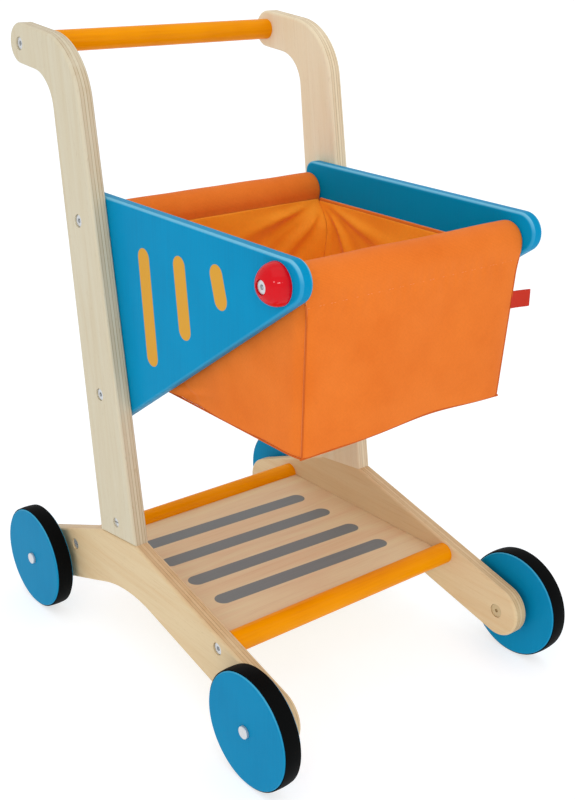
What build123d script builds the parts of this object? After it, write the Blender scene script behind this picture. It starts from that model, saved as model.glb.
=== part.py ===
from build123d import *
from math import acos, atan2, cos, degrees, hypot, radians, sin, tan
import os

# A toddler's push-along play shopping cart, in millimetres.
# X runs across the cart (left is -X), +Y points back to the handle and +Z up.
# The origin is on the floor, midway between the axles and between the sides.
# Heights that end in _rise are measured from the line of the axles.

# ---- Driving dimensions ----------------------------------------------------

# Side frames
inner_width = 256.0
ply = 15.0
wheelbase = 353.5
foot_end_radius = 24.5
joint_y = 48.8
joint_rise = 69.7
joint_width = 59.7
lean = 7.0
front_edge_lean = 9.1
arch_apex_y = 37.3
arch_apex_rise = 24.1
arch_radius = 140.0
handle_y = 178.5
handle_rise = 497.2
arm_width = 34.6
arm_angle = 5.4
head_outer_radius = 60.0
head_inner_radius = 33.0
frame_edge_round = 2.5

# Round wooden bars
handle_radius = 9.5
bar_radius = 10.0
rail_radius = 10.0

# Lower shelf
front_rail_reach = 70.0
rear_rail_reach = 46.3
front_rail_inset = 1.0
rear_rail_inset = 5.8
shelf_thickness = 6.0
shelf_above_rail_axis = 0.5
shelf_side_gap = 0.3
groove_gap = 0.15

# Side panels of the basket
panel_thickness = 12.0
nose_radius = 17.0
nose_ahead = 9.5
nose_above = 3.0
front_bar_y = -164.3
front_bar_rise = 360.5
back_bar_y = 91.6
back_bar_rise = 357.9
panel_slope = 34.9
panel_rear_y = 100.2
panel_rear_lean = 3.8
panel_corner_radius = 10.0
panel_edge_round = 3.0
panel_bolt_y = 69.1
panel_bolt_rise = 205.0

# Cloth basket
cloth = 1.8
cloth_gap = 0.3
casing_ease = 5.0
basket_side_gap = 0.5
basket_taper = 4.5
front_hem_setback = 8.3
back_hem_setback = 14.0
floor_rise = 219.5
side_hem_rise = 348.5
tag_length = 20.0
tag_height = 15.0
tag_thickness = 1.0
tag_rise = 300.0

# Wheels
wheel_radius = 50.0
wheel_thickness = 17.6
wheel_spacing = 6.0
wheel_edge_round = 1.3
rim_width = 1.4
groove_depth = 3.5
tyre_proud = 1.5
tyre_crown = 0.5
axle_radius = 4.0
axle_head_height = 2.4
axle_head_round = 0.8
axle_seat_depth = 8.0
axle_bolt_radius = 2.5
axle_bolt_head_radius = 6.4
axle_bolt_sink = 0.8
axle_bolt_head_height = 2.4
axle_tip_wall = 4.0
spacer_radius = 8.0
hex_socket_radius = 1.9
hex_socket_depth = 1.6

# Bolts, inserts, nuts and dowels
bolt_radius = 3.0
bolt_head_radius = 5.5
bolt_head_height = 1.6
bolt_head_round = 0.7
bolt_head_sink = 1.2
bolt_socket_radius = 2.3
bolt_socket_depth = 2.2
bolt_grip = 16.0
insert_radius = 4.6
insert_length = 20.0
knob_radius = 16.6
knob_pole_depth = 4.0
sleeve_nut_radius = 4.4
sleeve_nut_flange_radius = 7.0
sleeve_nut_flange = 1.5
sleeve_nut_recess = 0.2
barrel_nut_radius = 4.7
barrel_nut_length = 12.0
barrel_nut_recess = 1.3
barrel_nut_slot_width = 1.4
barrel_nut_slot_depth = 1.2
barrel_nut_height = 15.2
foot_bolt_grip = 36.0
foot_bolt_head_radius = 5.0
foot_bolt_head_height = 5.0
foot_bolt_tip = 6.0
dowel_radius = 4.0
dowel_depth = 20.0
dowel_offset = 18.0

# Clearances
running_clearance = 0.06
hole_clearance = 0.25
snug_clearance = 0.05
side_play = 0.3

# ---- Sizes that follow -----------------------------------------------------

tyre_radius = wheel_radius + tyre_proud
axle_z = tyre_radius
inner_half = inner_width / 2
outer_half = inner_half + ply
bolt_sink = bolt_head_sink + bolt_head_height
bolt_seat = outer_half - bolt_sink
panel_half = inner_half - panel_thickness
front_axle_y = -wheelbase / 2
rear_axle_y = wheelbase / 2
wheel_inner = outer_half + wheel_spacing
wheel_outer = wheel_inner + wheel_thickness
groove_radius = wheel_radius - groove_depth
sides = {"left": -1, "right": 1}
axles = {"front": front_axle_y, "rear": rear_axle_y}


def step(point, angle, distance):
    """Point at a distance from another, along an angle in degrees."""
    turn = radians(angle)
    return (point[0] + distance * cos(turn), point[1] + distance * sin(turn))


def crossing(first, first_angle, second, second_angle):
    """Point where two lines meet, each given by a point and an angle."""
    a = radians(first_angle)
    b = radians(second_angle)
    run = (second[0] - first[0]) * sin(b) - (second[1] - first[1]) * cos(b)
    return step(first, first_angle, run / sin(b - a))


def touch(point, centre, radius, turn):
    """Where a line from a point touches a circle, on the side that turn says."""
    run = hypot(point[0] - centre[0], point[1] - centre[1])
    base = atan2(point[1] - centre[1], point[0] - centre[0])
    return step(centre, degrees(base + turn * acos(radius / run)), radius)


def below(first, second, y, depth):
    """Point at a given y that lies a square depth under a sloping line."""
    slope = (second[1] - first[1]) / (second[0] - first[0])
    return (y, first[1] + slope * (y - first[0]) - depth * hypot(1, slope))


def side_plane(side, low, thickness):
    """Plane square to X, on the lower-X face of a board on one side."""
    return Plane.YZ.offset(low if side > 0 else -low - thickness)


def rod(radius, side, near, far, place, mode=Mode.ADD):
    """Round rod along X, from one distance off the middle to another."""
    with Locations((side * (near + far) / 2, place[0], place[1])):
        Cylinder(radius, abs(far - near), rotation=(0, 90, 0), mode=mode)


def save(piece, label):
    """Name a finished piece and write it."""
    piece.part.label = label
    export_step(piece.part, f"parts/{label}.step")


os.makedirs("parts", exist_ok=True)

# ---- Places in the side view, as (y, z) -------------------------------------

front_axle = (front_axle_y, axle_z)
rear_axle = (rear_axle_y, axle_z)
joint = (joint_y, axle_z + joint_rise)
joint_front = step(joint, 180 - lean, joint_width / 2)
joint_rear = step(joint, -lean, joint_width / 2)
arch_apex = (arch_apex_y, axle_z + arch_apex_rise)
front_toe_top = touch(joint_front, front_axle, foot_end_radius, 1)
front_toe_bottom = touch(arch_apex, front_axle, foot_end_radius, -1)
rear_toe_top = touch(joint_rear, rear_axle, foot_end_radius, -1)
rear_toe_bottom = touch(arch_apex, rear_axle, foot_end_radius, 1)
front_toe = (front_axle_y - foot_end_radius, axle_z)
rear_toe = (rear_axle_y + foot_end_radius, axle_z)

handle = (handle_y, axle_z + handle_rise)
arm_top = step(handle, 90 + arm_angle, arm_width / 2)
arm_tip = step(handle, arm_angle, arm_width / 2)
arm_bottom = step(handle, arm_angle - 90, arm_width / 2)
head_front = crossing(joint_front, 90 - front_edge_lean, arm_top, arm_angle)
head_rear = crossing(joint_rear, 90 - lean, arm_bottom, arm_angle)

front_rail = below(
    front_toe_top, joint_front, front_axle_y + front_rail_reach, rail_radius + front_rail_inset
)
rear_rail = below(
    joint_rear, rear_toe_top, rear_axle_y - rear_rail_reach, rail_radius + rear_rail_inset
)
front_bar = (front_bar_y, axle_z + front_bar_rise)
back_bar = (back_bar_y, axle_z + back_bar_rise)
panel_bolt = (panel_bolt_y, axle_z + panel_bolt_rise)

# ---- Feet: an inverted V of plywood over each pair of wheels ----------------

foot_mid = inner_half + ply / 2


def joint_place(side, offset, height):
    """Place on the butt joint of foot and upright, its Z along the upright."""
    turn = Location((side * foot_mid, joint[0], joint[1]), (-lean, 0, 0))
    return turn * Location((0, offset, height))


def joint_holes(side):
    """Dowel and bolt holes that the foot and the upright share."""
    for offset in (-dowel_offset, dowel_offset):
        with Locations(joint_place(side, offset, 0)):
            Cylinder(dowel_radius + snug_clearance, 2 * dowel_depth, mode=Mode.SUBTRACT)
    bolt_run = foot_bolt_grip + barrel_nut_height + foot_bolt_tip
    with Locations(joint_place(side, 0, bolt_run / 2 - foot_bolt_grip)):
        Cylinder(bolt_radius + hole_clearance, bolt_run, mode=Mode.SUBTRACT)


def bolt_hole(side, place):
    """Hole through a side board, counterbored so that a bolt head lies just below its face."""
    rod(bolt_radius + hole_clearance, side, inner_half, outer_half, place, Mode.SUBTRACT)
    rod(bolt_head_radius + hole_clearance, side, bolt_seat, outer_half, place, Mode.SUBTRACT)


for name, side in sides.items():
    with BuildPart() as foot:
        with BuildSketch(side_plane(side, inner_half, ply)) as foot_outline:
            with BuildLine():
                Polyline(front_toe_top, joint_front, joint_rear, rear_toe_top)
                ThreePointArc(rear_toe_top, rear_toe, rear_toe_bottom)
                Polyline(rear_toe_bottom, arch_apex, front_toe_bottom)
                ThreePointArc(front_toe_bottom, front_toe, front_toe_top)
            make_face()
            fillet(foot_outline.vertices().sort_by_distance(arch_apex)[0], arch_radius)
        extrude(amount=ply)
        outline_edges = foot.faces().filter_by(Axis.X).edges()
        fillet(outline_edges.sort_by_distance((0, *joint))[2:], frame_edge_round)
        joint_holes(side)
        counterbore = foot_bolt_grip + foot_bolt_head_height
        with Locations(joint_place(side, 0, -foot_bolt_grip - counterbore / 2)):
            Cylinder(foot_bolt_head_radius + hole_clearance, counterbore, mode=Mode.SUBTRACT)
        for rail in (front_rail, rear_rail):
            bolt_hole(side, rail)
        seat = outer_half - axle_seat_depth
        head_floor = inner_half + axle_bolt_sink + axle_bolt_head_height
        for axle in (front_axle, rear_axle):
            rod(axle_radius + snug_clearance, side, seat, outer_half, axle, Mode.SUBTRACT)
            rod(axle_bolt_radius + hole_clearance, side, inner_half, seat, axle, Mode.SUBTRACT)
            rod(axle_bolt_head_radius + hole_clearance, side, inner_half, head_floor, axle,
                Mode.SUBTRACT)
    save(foot, f"{name}_foot")

# ---- Uprights: tapered boards whose heads sweep back to the handle ----------

for name, side in sides.items():
    with BuildPart() as upright:
        with BuildSketch(side_plane(side, inner_half, ply)) as upright_outline:
            with BuildLine():
                Polyline(arm_top, head_front, joint_front, joint_rear, head_rear, arm_bottom)
                ThreePointArc(arm_bottom, arm_tip, arm_top)
            make_face()
            for corner, radius in (
                (head_front, head_outer_radius),
                (head_rear, head_inner_radius),
            ):
                corners = upright_outline.vertices()
                fillet(corners.sort_by_distance(corner)[0], radius)
        extrude(amount=ply)
        outline_edges = upright.faces().filter_by(Axis.X).edges()
        fillet(outline_edges.sort_by_distance((0, *joint))[2:], frame_edge_round)
        joint_holes(side)
        nut_floor = outer_half - barrel_nut_recess - barrel_nut_length
        nut_place = step(joint, 90 - lean, barrel_nut_height)
        rod(barrel_nut_radius + snug_clearance, side, nut_floor, outer_half, nut_place,
            Mode.SUBTRACT)
        for place in (handle, back_bar, panel_bolt):
            bolt_hole(side, place)
    save(upright, f"{name}_upright")

# ---- Joint hardware: dowels, a long bolt and a barrel nut on each side ------

with BuildPart() as foot_dowels:
    for side in sides.values():
        for offset in (-dowel_offset, dowel_offset):
            with Locations(joint_place(side, offset, 0)):
                Cylinder(dowel_radius, 2 * dowel_depth - 2 * side_play)
save(foot_dowels, "foot_dowels")

with BuildPart() as foot_bolts:
    for side in sides.values():
        shank = foot_bolt_grip + barrel_nut_height + foot_bolt_tip - side_play
        with Locations(joint_place(side, 0, shank / 2 - foot_bolt_grip)):
            Cylinder(bolt_radius, shank)
        with Locations(joint_place(side, 0, -foot_bolt_grip - foot_bolt_head_height / 2)):
            Cylinder(foot_bolt_head_radius, foot_bolt_head_height)
        socket = joint_place(side, 0, -foot_bolt_grip - foot_bolt_head_height)
        with BuildSketch(Plane(socket)):
            RegularPolygon(hex_socket_radius, 6)
        extrude(amount=hex_socket_depth, mode=Mode.SUBTRACT)
save(foot_bolts, "foot_bolts")

with BuildPart() as foot_barrel_nuts:
    for side in sides.values():
        nut_end = outer_half - barrel_nut_recess
        rod(barrel_nut_radius, side, nut_end - barrel_nut_length, nut_end, nut_place)
        with Locations(joint_place(side, 0, barrel_nut_height)):
            Cylinder(bolt_radius + snug_clearance, 3 * barrel_nut_radius, mode=Mode.SUBTRACT)
        slot_place = Location((side * nut_end, *nut_place), (-lean, 0, 0))
        with Locations(slot_place):
            Box(2 * barrel_nut_slot_depth, 3 * barrel_nut_radius, barrel_nut_slot_width,
                mode=Mode.SUBTRACT)
save(foot_barrel_nuts, "foot_barrel_nuts")


def insert_pockets(place, half):
    """Pockets for the threaded inserts in both ends of a bar."""
    for side in sides.values():
        rod(insert_radius + snug_clearance, side, half - insert_length, half, place,
            Mode.SUBTRACT)


def inserts(places, half):
    """Threaded inserts in both ends of one or more bars."""
    for place in places:
        for side in sides.values():
            rod(insert_radius, side, half - insert_length, half - side_play, place)
            rod(bolt_radius + snug_clearance, side, half - insert_length, half, place,
                Mode.SUBTRACT)


def bolt(side, place, seat, tip):
    """Flat-headed socket bolt, from the seat of its head in to its tip."""
    rod(bolt_radius, side, tip, seat, place)
    rod(bolt_head_radius, side, seat, seat + bolt_head_height, place)
    with BuildSketch(Plane.YZ.offset(side * (seat + bolt_head_height))) as socket:
        with Locations(place):
            RegularPolygon(bolt_socket_radius, 6)
    extrude(to_extrude=socket.sketch, amount=-side * bolt_socket_depth, mode=Mode.SUBTRACT)


def bolts(place, seat, tip):
    """The same bolt on both sides."""
    for side in sides.values():
        bolt(side, place, seat, tip)


def round_heads(piece):
    """Round the outer rims of a pair of bolts."""
    rims = piece.edges().filter_by(GeomType.CIRCLE).group_by(Axis.X)
    fillet(rims[0] + rims[-1], bolt_head_round)


# ---- Handle bar --------------------------------------------------------------

with BuildPart() as handle_bar:
    rod(handle_radius, 1, -inner_half, inner_half, handle)
    insert_pockets(handle, inner_half)
save(handle_bar, "handle_bar")

with BuildPart() as handle_inserts:
    inserts([handle], inner_half)
save(handle_inserts, "handle_inserts")

with BuildPart() as handle_bolts:
    bolts(handle, bolt_seat, inner_half - bolt_grip)
    round_heads(handle_bolts)
save(handle_bolts, "handle_bolts")

# ---- Lower shelf: a thin board let into grooves in two round rails ----------

shelf_angle = degrees(atan2(rear_rail[1] - front_rail[1], rear_rail[0] - front_rail[0]))
rail_distance = hypot(rear_rail[0] - front_rail[0], rear_rail[1] - front_rail[1])
groove_floor = insert_radius + snug_clearance + groove_gap
shelf_middle = Location(
    (0, (front_rail[0] + rear_rail[0]) / 2, (front_rail[1] + rear_rail[1]) / 2),
    (shelf_angle, 0, 0),
)
shelf_depth = rail_distance - 2 * groove_floor - 2 * groove_gap
shelf_place = shelf_middle * Location((0, 0, shelf_above_rail_axis - shelf_thickness / 2))

with BuildPart() as shelf_board:
    with Locations(shelf_place):
        Box(inner_width - 2 * shelf_side_gap, shelf_depth, shelf_thickness)
save(shelf_board, "shelf_board")

for name, rail in (("shelf_front_rail", front_rail), ("shelf_rear_rail", rear_rail)):
    with BuildPart() as shelf_rail:
        rod(rail_radius, 1, -inner_half, inner_half, rail)
        insert_pockets(rail, inner_half)
        with Locations(shelf_place):
            Box(inner_width, rail_distance - 2 * groove_floor,
                shelf_thickness + 2 * groove_gap, mode=Mode.SUBTRACT)
    save(shelf_rail, name)

with BuildPart() as rail_inserts:
    inserts([front_rail, rear_rail], inner_half)
save(rail_inserts, "rail_inserts")

for name, rail in (("front_rail_bolts", front_rail), ("rear_rail_bolts", rear_rail)):
    with BuildPart() as rail_bolts:
        bolts(rail, bolt_seat, inner_half - bolt_grip)
        round_heads(rail_bolts)
    save(rail_bolts, name)

# ---- Side panels: long wedges with a round nose, inboard of the uprights ----

nose = (front_bar[0] - nose_ahead, front_bar[1] + nose_above)
nose_top = (nose[0], nose[1] + nose_radius)
nose_bottom = step(nose, -90 - panel_slope, nose_radius)
nose_tip = step(nose, 180, nose_radius)
panel_rear_top = (panel_rear_y, nose_top[1])
panel_rear_bottom = crossing(
    nose_bottom, -panel_slope, panel_rear_top, 90 - panel_rear_lean
)
nut_face = panel_half + sleeve_nut_recess
nut_seat = nut_face + sleeve_nut_flange

for name, side in sides.items():
    with BuildPart() as panel:
        with BuildSketch(side_plane(side, panel_half, panel_thickness)) as panel_outline:
            with BuildLine():
                Polyline(nose_top, panel_rear_top, panel_rear_bottom, nose_bottom)
                ThreePointArc(nose_bottom, nose_tip, nose_top)
            make_face()
            for corner in (panel_rear_top, panel_rear_bottom):
                corners = panel_outline.vertices()
                fillet(corners.sort_by_distance(corner)[0], panel_corner_radius)
        extrude(amount=panel_thickness)
        fillet(panel.faces().filter_by(Axis.X).edges(), panel_edge_round)
        for place in (front_bar, back_bar):
            rod(bolt_radius + hole_clearance, side, panel_half, inner_half, place, Mode.SUBTRACT)
        if name == "right":
            rod(bolt_head_radius + hole_clearance, side, inner_half - bolt_sink, inner_half,
                front_bar, Mode.SUBTRACT)
        rod(sleeve_nut_radius + snug_clearance, side, panel_half, inner_half, panel_bolt,
            Mode.SUBTRACT)
        rod(sleeve_nut_flange_radius + hole_clearance, side, panel_half, nut_seat, panel_bolt,
            Mode.SUBTRACT)
    save(panel, f"{name}_side_panel")

with BuildPart() as panel_sleeve_nuts:
    for side in sides.values():
        rod(sleeve_nut_radius, side, nut_face, inner_half - side_play, panel_bolt)
        rod(sleeve_nut_flange_radius, side, nut_face, nut_seat, panel_bolt)
        rod(bolt_radius + snug_clearance, side, nut_seat, inner_half, panel_bolt, Mode.SUBTRACT)
save(panel_sleeve_nuts, "panel_sleeve_nuts")

with BuildPart() as panel_bolts:
    bolts(panel_bolt, bolt_seat, nut_seat + side_play)
    round_heads(panel_bolts)
save(panel_bolts, "panel_bolts")

# ---- Bars that carry the basket ----------------------------------------------

for name, bar in (("basket_front_bar", front_bar), ("basket_back_bar", back_bar)):
    with BuildPart() as basket_bar:
        rod(bar_radius, 1, -panel_half, panel_half, bar)
        insert_pockets(bar, panel_half)
    save(basket_bar, name)

with BuildPart() as basket_bar_inserts:
    inserts([front_bar, back_bar], panel_half)
save(basket_bar_inserts, "basket_bar_inserts")

with BuildPart() as back_bar_bolts:
    bolts(back_bar, bolt_seat, panel_half - bolt_grip)
    round_heads(back_bar_bolts)
save(back_bar_bolts, "back_bar_bolts")

# ---- Knob: a half ball over the left end of the front bar --------------------

left = sides["left"]
right = sides["right"]
knob_seat = inner_half + knob_radius - knob_pole_depth

with BuildPart() as left_knob:
    with Locations((left * inner_half, *front_bar)):
        Sphere(knob_radius)
    split(bisect_by=Plane.YZ.offset(left * inner_half), keep=Keep.BOTTOM)
    rod(bolt_radius + hole_clearance, left, inner_half, knob_seat, front_bar, Mode.SUBTRACT)
    rod(bolt_head_radius + hole_clearance, left, knob_seat, inner_half + knob_radius,
        front_bar, Mode.SUBTRACT)
save(left_knob, "left_knob")

with BuildPart() as front_bar_bolts:
    bolt(left, front_bar, knob_seat, panel_half - bolt_grip)
    bolt(right, front_bar, inner_half - bolt_sink, panel_half - bolt_grip)
    round_heads(front_bar_bolts)
save(front_bar_bolts, "front_bar_bolts")

# ---- Basket: cloth walls that hang from casings sewn round the two bars ------

basket_half = panel_half - basket_side_gap
hem_half = basket_half - basket_taper
casing_inner = bar_radius + casing_ease
casing_outer = casing_inner + cloth
casing_drop = casing_inner - bar_radius - cloth_gap
floor_z = axle_z + floor_rise
side_hem_z = axle_z + side_hem_rise


def casing_centre(bar):
    """Centre of the casing, which rests on the top of its bar."""
    return (bar[0], bar[1] - casing_drop)


def wall_bottom(bar, setback):
    """Outer face of a hanging wall at its hem, in y."""
    return bar[0] - casing_outer + setback


front_hem_y = wall_bottom(front_bar, front_hem_setback)
back_hem_y = wall_bottom(back_bar, -back_hem_setback)

for name, bar, hem_y in (
    ("basket_front", front_bar, front_hem_y),
    ("basket_back", back_bar, back_hem_y),
):
    centre = casing_centre(bar)
    with BuildPart() as wall:
        rod(casing_outer, 1, -basket_half, basket_half, centre)
        top_y = bar[0] - casing_outer
        with BuildSketch(Plane.XY.offset(floor_z)):
            with Locations((0, hem_y)):
                Rectangle(2 * hem_half, cloth, align=(Align.CENTER, Align.MIN))
        with BuildSketch(Plane.XY.offset(centre[1])):
            with Locations((0, top_y)):
                Rectangle(2 * basket_half, cloth, align=(Align.CENTER, Align.MIN))
        loft()
        rod(casing_inner, 1, -basket_half, basket_half, centre, Mode.SUBTRACT)
    save(wall, name)


def wall_y(bar, hem_y, z):
    """Outer face of a hanging wall at a height, in y."""
    top_z = casing_centre(bar)[1]
    share = (z - floor_z) / (top_z - floor_z)
    return hem_y + share * (bar[0] - casing_outer - hem_y)


side_lean = degrees(atan2(basket_taper, casing_centre(front_bar)[1] - floor_z))
front_casing_bottom = casing_centre(front_bar)[1] - casing_outer - cloth_gap
front_casing_rear = front_bar[0] + casing_outer + cloth_gap
front_inset = cloth + cloth_gap

for name, side in sides.items():
    wall_plane = Plane(
        origin=(side * hem_half, 0, floor_z),
        x_dir=(0, 1, 0),
        z_dir=(cos(radians(side_lean)), 0, -side * sin(radians(side_lean))),
    )
    with BuildPart() as side_wall:
        with BuildSketch(wall_plane):
            Polygon(
                (front_hem_y + front_inset, 0),
                (wall_y(front_bar, front_hem_y, front_casing_bottom) + front_inset,
                 front_casing_bottom - floor_z),
                (front_casing_rear, front_casing_bottom - floor_z),
                (front_casing_rear, side_hem_z - floor_z),
                (wall_y(back_bar, back_hem_y, side_hem_z) - cloth_gap, side_hem_z - floor_z),
                (back_hem_y - cloth_gap, 0),
                align=None,
            )
        extrude(amount=-side * cloth)
    save(side_wall, f"basket_{name}")

with BuildPart() as basket_floor:
    floor_front = front_hem_y + front_inset
    floor_back = back_hem_y - cloth_gap
    with Locations((0, (floor_front + floor_back) / 2, floor_z + cloth / 2)):
        Box(2 * (hem_half - cloth - 2 * cloth_gap), floor_back - floor_front, cloth)
save(basket_floor, "basket_floor")

# ---- Plain folded tag in the front right seam --------------------------------

tag_z = axle_z + tag_rise
tag_seam = hem_half + (tag_z + tag_height - floor_z) * tan(radians(side_lean))
with BuildPart() as care_tag:
    with Locations((tag_seam + cloth_gap, wall_y(front_bar, front_hem_y, tag_z), tag_z)):
        Box(tag_length, tag_thickness, tag_height, align=Align.MIN)
save(care_tag, "care_tag")

# ---- Wheels: turned discs with a rubber band, each on a headed sleeve --------


def axle_plane(y):
    """Plane through an axle: its x is X, and its y is the radius upwards."""
    return Plane(origin=(0, y, axle_z), x_dir=(1, 0, 0), z_dir=(0, -1, 0))


bore_radius = axle_radius + running_clearance
tyre_inner = wheel_inner + rim_width + snug_clearance
tyre_outer = wheel_outer - rim_width - snug_clearance
tyre_middle = (wheel_inner + wheel_outer) / 2
tyre_base = groove_radius + snug_clearance
tyre_edge = tyre_radius - tyre_crown
head_inner = wheel_outer + side_play

for axle_name, axle_y in axles.items():
    for side_name, side in sides.items():
        corner = f"{axle_name}_{side_name}"
        axle = (axle_y, axle_z)
        spin = Axis((0, axle_y, axle_z), (1, 0, 0))

        with BuildPart() as wheel_disc:
            with BuildSketch(axle_plane(axle_y)) as section:
                with BuildLine():
                    Polyline(
                        (side * wheel_inner, bore_radius),
                        (side * wheel_inner, wheel_radius),
                        (side * (wheel_inner + rim_width), wheel_radius),
                        (side * (wheel_inner + rim_width), groove_radius),
                        (side * (wheel_outer - rim_width), groove_radius),
                        (side * (wheel_outer - rim_width), wheel_radius),
                        (side * wheel_outer, wheel_radius),
                        (side * wheel_outer, bore_radius),
                        close=True,
                    )
                make_face()
                for x in (wheel_inner, wheel_outer):
                    rim = section.vertices().sort_by_distance((side * x, wheel_radius))[0]
                    fillet(rim, wheel_edge_round)
            revolve(axis=spin)
        save(wheel_disc, f"{corner}_wheel")

        with BuildPart() as tyre:
            with BuildSketch(axle_plane(axle_y)):
                with BuildLine():
                    Polyline(
                        (side * tyre_inner, tyre_edge),
                        (side * tyre_inner, tyre_base),
                        (side * tyre_outer, tyre_base),
                        (side * tyre_outer, tyre_edge),
                    )
                    ThreePointArc(
                        (side * tyre_outer, tyre_edge),
                        (side * tyre_middle, tyre_radius),
                        (side * tyre_inner, tyre_edge),
                    )
                make_face()
            revolve(axis=spin)
        save(tyre, f"{corner}_tyre")

        with BuildPart() as axle_sleeve:
            rod(axle_radius, side, seat, head_inner, axle)
            rod(bolt_head_radius, side, head_inner, head_inner + axle_head_height, axle)
            rims = axle_sleeve.edges().filter_by(GeomType.CIRCLE).group_by(Axis.X)
            fillet(rims[-1] if side > 0 else rims[0], axle_head_round)
            rod(axle_bolt_radius + snug_clearance, side, seat, wheel_outer - axle_tip_wall, axle,
                Mode.SUBTRACT)
        save(axle_sleeve, f"{corner}_axle_sleeve")

        with BuildPart() as axle_bolt:
            head_top = inner_half + axle_bolt_sink
            head_bottom = head_top + axle_bolt_head_height
            rod(axle_bolt_radius, side, head_top, wheel_outer - 2 * axle_tip_wall, axle)
            rod(axle_bolt_head_radius, side, head_top, head_bottom, axle)
            with BuildSketch(Plane.YZ.offset(side * head_top)):
                with Locations(axle):
                    RegularPolygon(hex_socket_radius, 6)
            extrude(amount=side * hex_socket_depth, mode=Mode.SUBTRACT)
        save(axle_bolt, f"{corner}_axle_bolt")

        with BuildPart() as spacer:
            rod(spacer_radius, side, outer_half, wheel_inner - side_play, axle)
            rod(axle_radius + snug_clearance, side, outer_half, wheel_inner, axle, Mode.SUBTRACT)
        save(spacer, f"{corner}_spacer")
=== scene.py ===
import math

import bmesh
import bpy
from mathutils import Matrix, Vector, noise


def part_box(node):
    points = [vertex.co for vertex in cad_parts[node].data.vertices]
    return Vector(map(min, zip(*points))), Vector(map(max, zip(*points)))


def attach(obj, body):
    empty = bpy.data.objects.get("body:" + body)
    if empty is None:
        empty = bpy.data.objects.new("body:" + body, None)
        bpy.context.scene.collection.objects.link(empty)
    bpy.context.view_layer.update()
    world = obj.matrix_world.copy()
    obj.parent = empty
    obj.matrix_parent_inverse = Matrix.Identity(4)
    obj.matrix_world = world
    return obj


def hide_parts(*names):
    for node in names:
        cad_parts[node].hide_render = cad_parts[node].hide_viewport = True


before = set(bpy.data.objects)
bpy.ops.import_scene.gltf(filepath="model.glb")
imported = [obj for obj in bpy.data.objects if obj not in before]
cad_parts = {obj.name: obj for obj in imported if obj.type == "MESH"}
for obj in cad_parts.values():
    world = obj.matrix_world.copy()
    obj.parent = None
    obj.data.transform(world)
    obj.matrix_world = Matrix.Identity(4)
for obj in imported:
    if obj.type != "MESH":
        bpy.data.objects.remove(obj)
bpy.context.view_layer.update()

# ---- Camera ------------------------------------------------------------------
# A 55 mm lens on a full-frame body stands before the cart and to its left, a
# little above the handle, and looks down at it.

view_turn = math.radians(-39.172)
view_rise = math.radians(21.961)
view_roll = math.radians(0.801)

backward = Vector(
    (
        math.sin(view_turn) * math.cos(view_rise),
        -math.cos(view_turn) * math.cos(view_rise),
        math.sin(view_rise),
    )
)
level = Vector((math.cos(view_turn), math.sin(view_turn), 0.0))
overhead = backward.cross(level)
rightward = level * math.cos(view_roll) + overhead * math.sin(view_roll)
upward = overhead * math.cos(view_roll) - level * math.sin(view_roll)

lens = bpy.data.cameras.new("camera")
lens.sensor_width = 36.0
lens.lens = 54.695
lens.clip_start = 0.05
lens.clip_end = 100.0
camera = bpy.data.objects.new("camera", lens)
camera.matrix_world = Matrix((rightward, upward, backward)).transposed().to_4x4()
camera.location = (-0.64740, -0.81473, 0.65868)
bpy.context.scene.collection.objects.link(camera)
bpy.context.scene.camera = camera

# ---- Studio ------------------------------------------------------------------
# The cart stands on a white acrylic sweep that is lit from below, in a white
# room, under one wide soft box, with small ones at its front and by the lens.

bpy.context.scene.view_settings.view_transform = "Standard"


def colour(code):
    """The linear colour of an sRGB hex code."""
    parts = [int(code[i : i + 2], 16) / 255 for i in (1, 3, 5)]
    linear = [p / 12.92 if p <= 0.04045 else ((p + 0.055) / 1.055) ** 2.4 for p in parts]
    return (*linear, 1.0)


def add(tree, kind, inputs=(), **settings):
    """Adds a node with its settings. An input takes a value, a socket, or a node, which stands
    for its first output."""
    node = tree.nodes.new("ShaderNode" + kind)
    for name, value in settings.items():
        setattr(node, name, value)
    for socket, value in dict(inputs).items():
        if isinstance(value, bpy.types.Node):
            value = value.outputs[0]
        if isinstance(value, bpy.types.NodeSocket):
            tree.links.new(value, node.inputs[socket])
        else:
            node.inputs[socket].default_value = value
    return node


def new_finish(name, shader):
    """A material with its shader's own sockets set: (material, node tree, shader)."""
    finish = bpy.data.materials.new(name)
    finish.use_nodes = True
    tree = finish.node_tree
    tree.nodes.clear()
    surface = add(tree, "BsdfPrincipled", shader)
    add(tree, "OutputMaterial", {"Surface": surface})
    return finish, tree, surface


def new_piece(name, shape, *finishes):
    """A mesh object at the origin, made from a bmesh, smooth, with its materials."""
    mesh = bpy.data.meshes.new(name)
    shape.to_mesh(mesh)
    shape.free()
    mesh.shade_smooth()
    for finish in finishes:
        mesh.materials.append(finish)
    piece = bpy.data.objects.new(name, mesh)
    bpy.context.scene.collection.objects.link(piece)
    return piece


# Opal acrylic: even, faintly satin and glowing, so it stays white to the edge.
sweep_finish = new_finish(
    "opal_acrylic",
    {
        "Base Color": colour("#B6BCC2"),
        "Roughness": 0.6,
        "Specular IOR Level": 0.1,
        "Emission Color": colour("#FFFFFF"),
        "Emission Strength": 0.62,
    },
)[0]
sweep_radius = 30.0
sweep = bmesh.new()
bmesh.ops.create_circle(sweep, cap_ends=True, segments=64, radius=sweep_radius)
new_piece("studio_floor", sweep, sweep_finish)

room = bpy.data.worlds.new("white_room")
room.use_nodes = True
background = room.node_tree.nodes["Background"]
background.inputs["Color"].default_value = colour("#FFFFFF")
background.inputs["Strength"].default_value = 0.87
bpy.context.scene.world = room

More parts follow.
